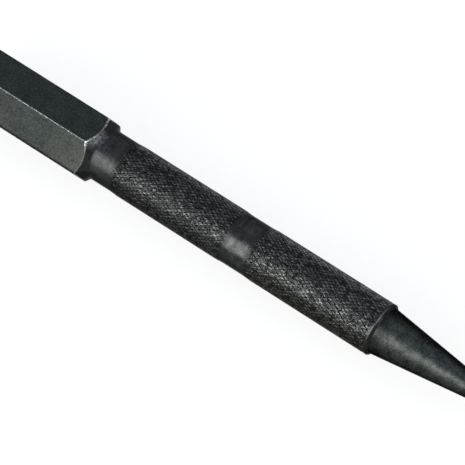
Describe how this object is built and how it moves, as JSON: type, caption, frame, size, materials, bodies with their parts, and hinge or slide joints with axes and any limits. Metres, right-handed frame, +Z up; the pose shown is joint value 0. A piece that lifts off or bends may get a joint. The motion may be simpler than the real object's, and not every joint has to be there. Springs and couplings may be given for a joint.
{
  "type": "nail setter",
  "caption": "Black oxide steel nail setter: hexagonal struck head, round neck, knurled grips with a plain band between, chamfered shoulder, long taper and cupped tip.",
  "frame": {"origin": "under the middle of the tool, on the surface that it lies on: the bottom centre of the bounding box", "axes": "+X along the tool's axis from the struck face to the cupped tip, +Z up, square to the head flats above and below; the tool lies on one head flat, and its axis is half the width across flats above z = 0"},
  "size_m": [0.1016, 0.0116, 0.01],
  "materials": {
    "struck_steel": "black oxide steel, worn brighter where it is struck",
    "head_oxide": "satin black oxide over fine-grained bar stock, edges worn bright",
    "turned_oxide": "smooth satin black oxide on turned steel, slightly blue",
    "knurled_oxide": "black oxide on knurled steel, crests worn bright",
    "tip_steel": "black oxide steel, worn at the rim of the cup"
  },
  "bodies": {
    "root": {"striking_end": "struck_steel", "hex_head": "head_oxide", "head_shoulder": "turned_oxide", "neck": "turned_oxide", "upper_grip": "knurled_oxide", "centre_band": "turned_oxide", "lower_grip": "knurled_oxide", "grip_shoulder": "turned_oxide", "tapered_shank": "turned_oxide", "cupped_tip": "tip_steel"}
  },
  "joints": []
}
